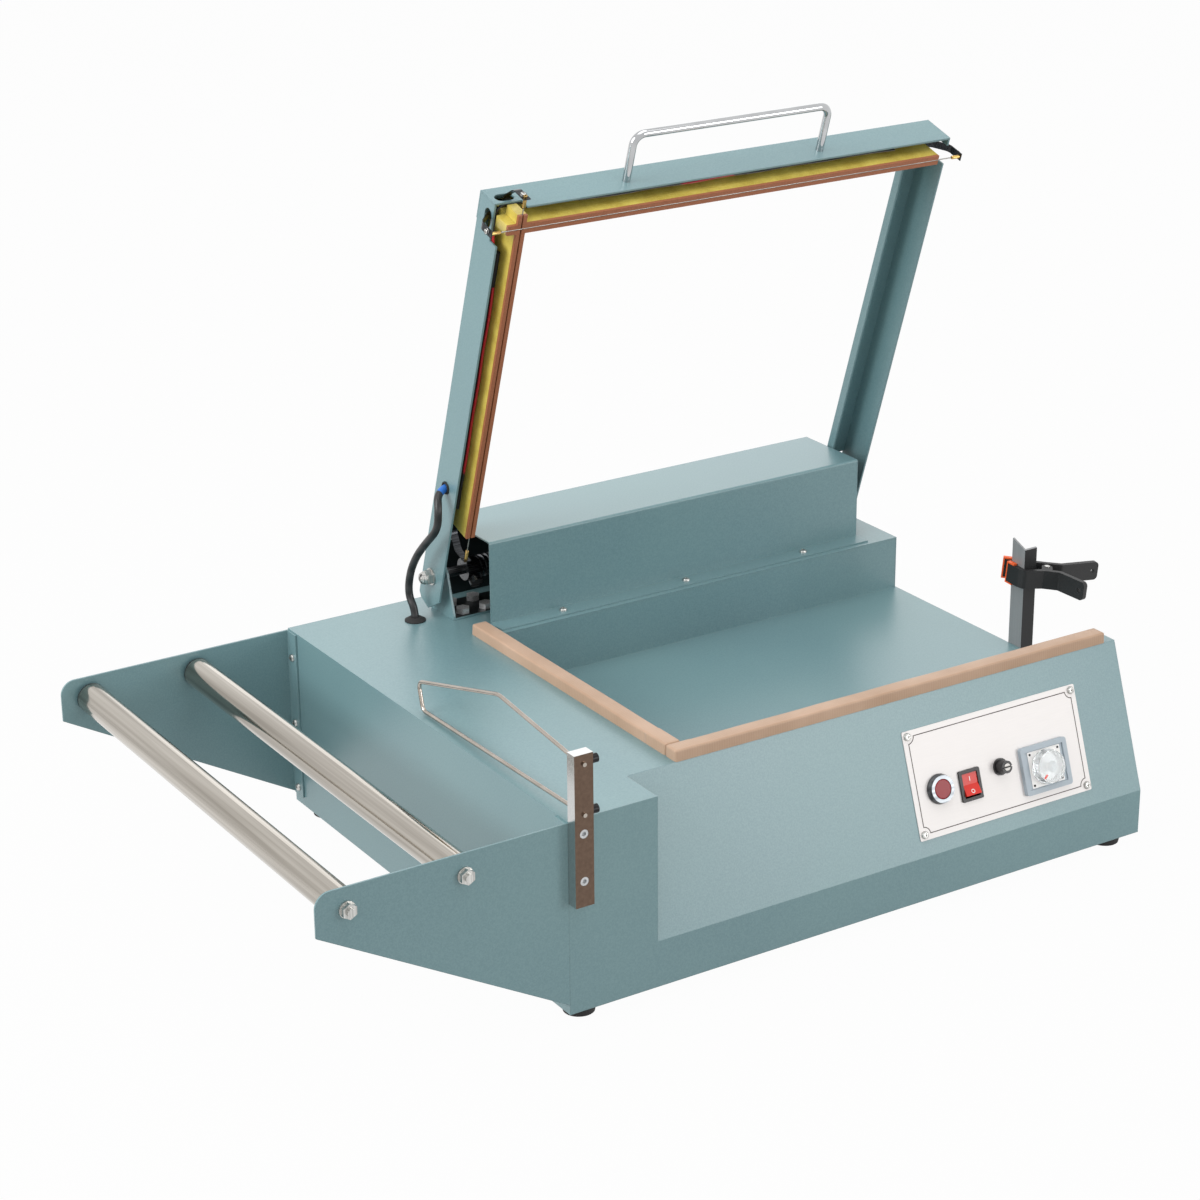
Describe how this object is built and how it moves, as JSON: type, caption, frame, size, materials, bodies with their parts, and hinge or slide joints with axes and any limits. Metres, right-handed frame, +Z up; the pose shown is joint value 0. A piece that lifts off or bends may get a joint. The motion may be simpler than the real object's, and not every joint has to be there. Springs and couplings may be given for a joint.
{
  "type": "l bar sealer",
  "caption": "Table-top L bar film sealer with a hinged L frame, work tray, film rollers on the left, control panel and scrap clamp.",
  "frame": {"origin": "centre of the outline on the surface under the feet, with the sealing frame open", "axes": "+X towards the scrap clamp, the open end of the tray; +Y to the back, the control panel faces -Y; +Z up"},
  "size_m": [1.0198, 0.57, 0.7227],
  "materials": {
    "cabinet_paint": "satin",
    "zinc_sheet": "satin",
    "black_rubber": "matt",
    "orange_rubber": "matt",
    "zinc_screws": "satin",
    "black_nylon": "matt",
    "brass": "satin",
    "spring_steel": "satin",
    "aluminium": "satin",
    "taped_silicone": "matt",
    "polished_steel": "polished",
    "black_steel": "satin",
    "panel_silver": "satin",
    "black_plastic": "satin",
    "timer_grey": "satin",
    "transformer_core": "matt",
    "terminal_plastic": "matt",
    "relay_plastic": "satin",
    "cable_sheath": "matt",
    "roller_chrome": "polished",
    "red_lens": "gloss",
    "red_rocker": "gloss",
    "clear_knob": "gloss",
    "handle_chrome": "polished",
    "bar_laminate": "satin",
    "edge_laminate": "matt",
    "resistance_wire": "satin",
    "lever_steel": "satin"
  },
  "bodies": {
    "base": {"cabinet_shell": "cabinet_paint", "work_tray": "cabinet_paint", "bottom_plate": "zinc_sheet", "rubber_feet": "black_rubber", "pan_head_screws": "zinc_screws", "mains_gland": "black_nylon", "spring_cover": "cabinet_paint", "hinge_brackets": "zinc_sheet", "hex_bolts": "zinc_screws", "hinge_bushes": "brass", "torsion_springs": "spring_steel", "pad_rails": "aluminium", "seal_pad_front": "taped_silicone", "seal_pad_left": "taped_silicone", "film_post": "polished_steel", "socket_screws": "black_steel", "rack_plate_front": "cabinet_paint", "rack_plate_rear": "cabinet_paint", "roller_axles": "zinc_screws", "panel_plate": "panel_silver", "button_bezel": "handle_chrome", "rocker_bezel": "black_plastic", "fuse_holder": "black_plastic", "timer_case": "timer_grey", "transformer": "transformer_core", "terminal_block": "terminal_plastic", "relay": "relay_plastic", "micro_switch": "black_plastic", "clamp_post": "polished_steel", "clamp_arm_front": "black_nylon", "clamp_pin": "zinc_screws", "clamp_spring": "spring_steel", "table_grommet": "black_rubber", "clamp_shoe_front": "orange_rubber", "frame_cable": "cable_sheath"},
    "sealing_frame": {"arm_left": "cabinet_paint", "bar_front": "cabinet_paint", "arm_right": "cabinet_paint", "handle": "handle_chrome", "seal_bars": "bar_laminate", "seal_edges": "edge_laminate", "seal_wires": "resistance_wire", "hinge_shaft": "polished_steel", "frame_fasteners": "zinc_screws", "arm_leads": "cable_sheath"},
    "roller_outer": {"roller_outer": "roller_chrome", "roller_outer_caps": "black_plastic"},
    "roller_inner": {"roller_inner": "roller_chrome", "roller_inner_caps": "black_plastic"},
    "film_opener": {"film_opener": "polished_steel"},
    "button_lens": {"button_lens": "red_lens"},
    "rocker_paddle": {"rocker": "red_rocker"},
    "fuse_cap": {"fuse_cap": "black_plastic"},
    "timer_knob": {"timer_knob": "clear_knob"},
    "clamp_rear_arm": {"clamp_arm_rear": "black_nylon", "clamp_shoe_rear": "orange_rubber"},
    "lever_front_left": {"tension_lever_front_left": "lever_steel"},
    "lever_front_right": {"tension_lever_front_right": "lever_steel"},
    "lever_left_front": {"tension_lever_left_front": "lever_steel"},
    "lever_left_rear": {"tension_lever_left_rear": "lever_steel"}
  },
  "joints": [
    {"name": "frame_hinge", "type": "hinge", "parent": "base", "child": "sealing_frame", "pos_m": [0.14543, 0.217, 0.2495], "axis": [1, 0, 0], "range_deg": [0, 72], "stiffness_Nm_per_rad": 4, "springref_deg": -51.57, "deforming": ["frame_cable"]},
    {"name": "roller_outer_spin", "type": "hinge", "parent": "base", "child": "roller_outer", "pos_m": [-0.48082, 0, 0.183], "axis": [0, 1, 0], "continuous": true},
    {"name": "roller_inner_spin", "type": "hinge", "parent": "base", "child": "roller_inner", "pos_m": [-0.36582, 0, 0.183], "axis": [0, 1, 0], "continuous": true},
    {"name": "opener_slide", "type": "slide", "parent": "base", "child": "film_opener", "axis": [0, 1, 0], "range_m": [-0.004, 0.006]},
    {"name": "button_press", "type": "slide", "parent": "base", "child": "button_lens", "axis": [0, 0.9434, -0.3316], "range_m": [0, 0.003], "stiffness_N_per_m": 900, "springref_m": -0.0015},
    {"name": "rocker_tilt", "type": "hinge", "parent": "base", "child": "rocker_paddle", "pos_m": [0.21038, -0.25051, 0.11126], "axis": [1, 0, 0], "range_deg": [0, 20]},
    {"name": "fuse_cap_turn", "type": "hinge", "parent": "base", "child": "fuse_cap", "pos_m": [0.24968, -0.24954, 0.12004], "axis": [0, -0.9434, 0.3316], "range_deg": [0, 45]},
    {"name": "timer_turn", "type": "hinge", "parent": "base", "child": "timer_knob", "pos_m": [0.30308, -0.25362, 0.10843], "axis": [0, 0.9434, -0.3316], "range_deg": [0, 270]},
    {"name": "clamp_open", "type": "hinge", "parent": "base", "child": "clamp_rear_arm", "pos_m": [0.44558, -0.0822, 0.225], "axis": [-0.0613, 0.0517, -0.9968], "range_deg": [0, 25], "stiffness_Nm_per_rad": 0.6, "springref_deg": -20.05},
    {"name": "lever_front_left_flex", "type": "hinge", "parent": "sealing_frame", "child": "lever_front_left", "pos_m": [-0.10882, 0.09806, 0.66088], "axis": [0, 0.309, -0.9511], "range_deg": [0, 2.5], "stiffness_Nm_per_rad": 5, "springref_deg": -1.15, "deforming": ["seal_wires"]},
    {"name": "lever_front_right_flex", "type": "hinge", "parent": "sealing_frame", "child": "lever_front_right", "pos_m": [0.39368, 0.09806, 0.66088], "axis": [0, -0.309, 0.9511], "range_deg": [0, 2.5], "stiffness_Nm_per_rad": 5, "springref_deg": -1.15, "deforming": ["seal_wires"]},
    {"name": "lever_left_front_flex", "type": "hinge", "parent": "sealing_frame", "child": "lever_left_front", "pos_m": [-0.10332, 0.09636, 0.66611], "axis": [-1, 0, 0], "range_deg": [0, 2.5], "stiffness_Nm_per_rad": 5, "springref_deg": -1.15, "deforming": ["seal_wires"]},
    {"name": "lever_left_rear_flex", "type": "hinge", "parent": "sealing_frame", "child": "lever_left_rear", "pos_m": [-0.10332, 0.20977, 0.31707], "axis": [1, 0, 0], "range_deg": [0, 2.5], "stiffness_Nm_per_rad": 5, "springref_deg": -1.15, "deforming": ["seal_wires"]}
  ]
}
